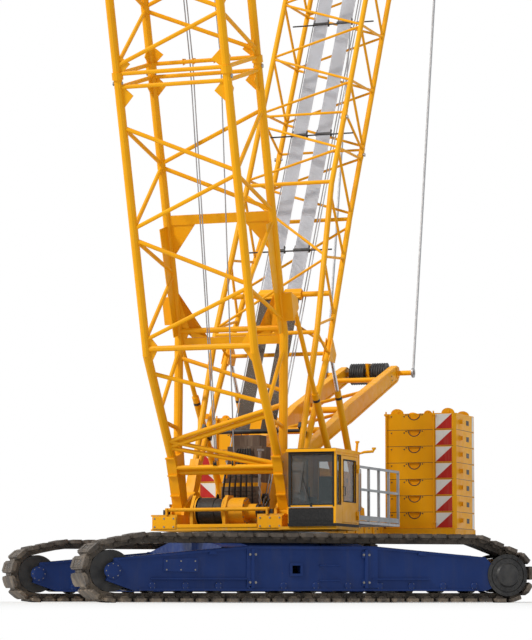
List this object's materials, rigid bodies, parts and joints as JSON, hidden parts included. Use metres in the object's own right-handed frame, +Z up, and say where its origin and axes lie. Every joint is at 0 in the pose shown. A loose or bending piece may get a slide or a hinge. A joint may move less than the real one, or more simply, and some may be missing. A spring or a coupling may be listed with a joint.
{
  "type": "crawler crane",
  "caption": "Yellow lattice-boom crawler crane with a lattice mast, A-frame, stacked counterweights and a swivelling hook block.",
  "frame": {"origin": "slewing axis at ground level", "axes": "+X to the front of the superstructure, +Y to its left side where the cab stands, +Z up"},
  "size_m": [25.7831, 12.5031, 36.1855],
  "materials": {
    "frame_blue": "semi-gloss",
    "crane_yellow": "semi-gloss",
    "track_iron": "worn",
    "grey_steel": "satin",
    "dark_iron": "greasy",
    "wire_rope": "dull",
    "cab_glass": "clear",
    "rail_grey": "satin",
    "cab_dark": "matte"
  },
  "bodies": {
    "undercarriage": {"car_body": "frame_blue", "side_frame_left": "frame_blue", "side_frame_right": "frame_blue", "track_left": "track_iron", "track_right": "track_iron", "drive_sprockets": "dark_iron", "idlers": "dark_iron", "track_rollers": "dark_iron", "slewing_ring": "grey_steel"},
    "superstructure": {"deck": "crane_yellow", "foot_lugs": "crane_yellow", "frame_posts": "crane_yellow", "backstop_feet": "crane_yellow", "front_winch_frame": "crane_yellow", "pump_housing": "crane_yellow", "engine_house": "crane_yellow", "counterweight_base": "crane_yellow", "counterweight_left": "crane_yellow", "counterweight_right": "crane_yellow", "cab_floor": "cab_dark", "cab_shell": "crane_yellow", "cab_roof": "crane_yellow", "cab_glass": "cab_glass", "cab_seat": "cab_dark", "walkway": "grey_steel", "railings": "rail_grey"},
    "winch_drum": {"front_winch_drum": "dark_iron"},
    "door": {"cab_door": "crane_yellow"},
    "boom": {"boom_foot_left": "crane_yellow", "boom_foot_right": "crane_yellow", "boom_base": "crane_yellow", "boom_section_1": "crane_yellow", "boom_section_2": "crane_yellow", "boom_head": "crane_yellow"},
    "head_sheaves": {"boom_sheaves": "dark_iron"},
    "pendants": {"boom_pendants": "grey_steel"},
    "boom_stop_tubes": {"boom_backstop_tubes": "crane_yellow"},
    "boom_stop_rods": {"boom_backstop_rods": "crane_yellow"},
    "mast": {"mast_base": "crane_yellow", "mast_section_1": "crane_yellow", "mast_section_2": "crane_yellow", "mast_head": "crane_yellow", "mast_falls": "wire_rope", "mast_pendants": "grey_steel"},
    "mast_stop_tubes": {"mast_backstop_tubes": "crane_yellow"},
    "mast_stop_rods": {"mast_backstop_rods": "dark_iron"},
    "boom_stay": {"stay_sheaves": "dark_iron", "stay_block": "crane_yellow", "stay_falls": "wire_rope"},
    "back_frame": {"a_frame": "crane_yellow", "a_frame_sheaves": "dark_iron"},
    "hook_lines": {"hook_falls": "wire_rope", "hook_block": "crane_yellow"},
    "load_hook": {"hook": "dark_iron"}
  },
  "joints": [
    {"name": "slew", "type": "hinge", "parent": "undercarriage", "child": "superstructure", "pos_m": [0, 0, 1.46], "axis": [0, 0, 1], "continuous": true},
    {"name": "boom_luff", "type": "hinge", "parent": "superstructure", "child": "boom", "pos_m": [1.4, 0, 1.86], "axis": [0, 1, 0], "range_deg": [-9.5, 43.5]},
    {"name": "mast_tilt", "type": "hinge", "parent": "superstructure", "child": "mast", "pos_m": [0.88, 0, 2.16], "axis": [0, 1, 0], "range_deg": [-7, 8]},
    {"name": "head_sheaves_spin", "type": "hinge", "parent": "boom", "child": "head_sheaves", "pos_m": [12.45442, 0, 35.37649], "axis": [0, 1, 0], "continuous": true},
    {"name": "pendant_swing", "type": "hinge", "parent": "boom", "child": "pendants", "pos_m": [11.06877, 0, 35.55749], "axis": [0, 1, 0], "range_deg": [-12.41, 2.72]},
    {"name": "hook_swing", "type": "hinge", "parent": "boom", "child": "hook_lines", "pos_m": [12.45442, 0, 35.37649], "axis": [0, 1, 0], "range_deg": [-43.51, 9.51]},
    {"name": "hook_swivel", "type": "hinge", "parent": "hook_lines", "child": "load_hook", "pos_m": [12.45442, 0, 30.55649], "axis": [0, 0, 1], "continuous": true},
    {"name": "boom_stop_swing", "type": "hinge", "parent": "superstructure", "child": "boom_stop_tubes", "pos_m": [-1.75, 0, 2.03], "axis": [0, 1, 0], "range_deg": [-5.95, 27.2]},
    {"name": "boom_stop_stroke", "type": "slide", "parent": "boom_stop_tubes", "child": "boom_stop_rods", "axis": [0.6136, 0, 0.7896], "range_m": [-0.3629, 1.6583]},
    {"name": "mast_stop_swing", "type": "hinge", "parent": "superstructure", "child": "mast_stop_tubes", "pos_m": [-3.55, 0, 2.03], "axis": [0, 1, 0], "range_deg": [-2.63, 3.01]},
    {"name": "mast_stop_stroke", "type": "slide", "parent": "mast_stop_tubes", "child": "mast_stop_rods", "axis": [0.5144, 0, 0.8576], "range_m": [-0.4556, 0.5206]},
    {"name": "stay_swing", "type": "hinge", "parent": "mast", "child": "boom_stay", "pos_m": [-12.52859, 0, 26.85555], "axis": [0, 1, 0], "range_deg": [-6.8, 31.11]},
    {"name": "back_frame_tilt", "type": "hinge", "parent": "superstructure", "child": "back_frame", "pos_m": [-0.35, 0, 2.9], "axis": [0, 1, 0], "range_deg": [-8.1, 9.25]},
    {"name": "winch_spin", "type": "hinge", "parent": "superstructure", "child": "winch_drum", "pos_m": [1.93, 0, 1.86], "axis": [0, 1, 0], "continuous": true},
    {"name": "door_swing", "type": "hinge", "parent": "superstructure", "child": "door", "pos_m": [1.236, 2.686, 1.6], "axis": [0, 0, 1], "range_deg": [0, 105]}
  ],
  "couplings": [
    {"joint": "pendant_swing", "follows": "boom_luff", "ratio": -0.285},
    {"joint": "hook_swing", "follows": "boom_luff", "ratio": -1},
    {"joint": "boom_stop_swing", "follows": "boom_luff", "ratio": 0.625},
    {"joint": "boom_stop_stroke", "follows": "boom_luff", "m_per_rad": 2.183},
    {"joint": "mast_stop_swing", "follows": "mast_tilt", "ratio": 0.375},
    {"joint": "mast_stop_stroke", "follows": "mast_tilt", "m_per_rad": 3.7214},
    {"joint": "stay_swing", "follows": "boom_luff", "ratio": 0.715},
    {"joint": "back_frame_tilt", "follows": "mast_tilt", "ratio": 1.155}
  ]
}
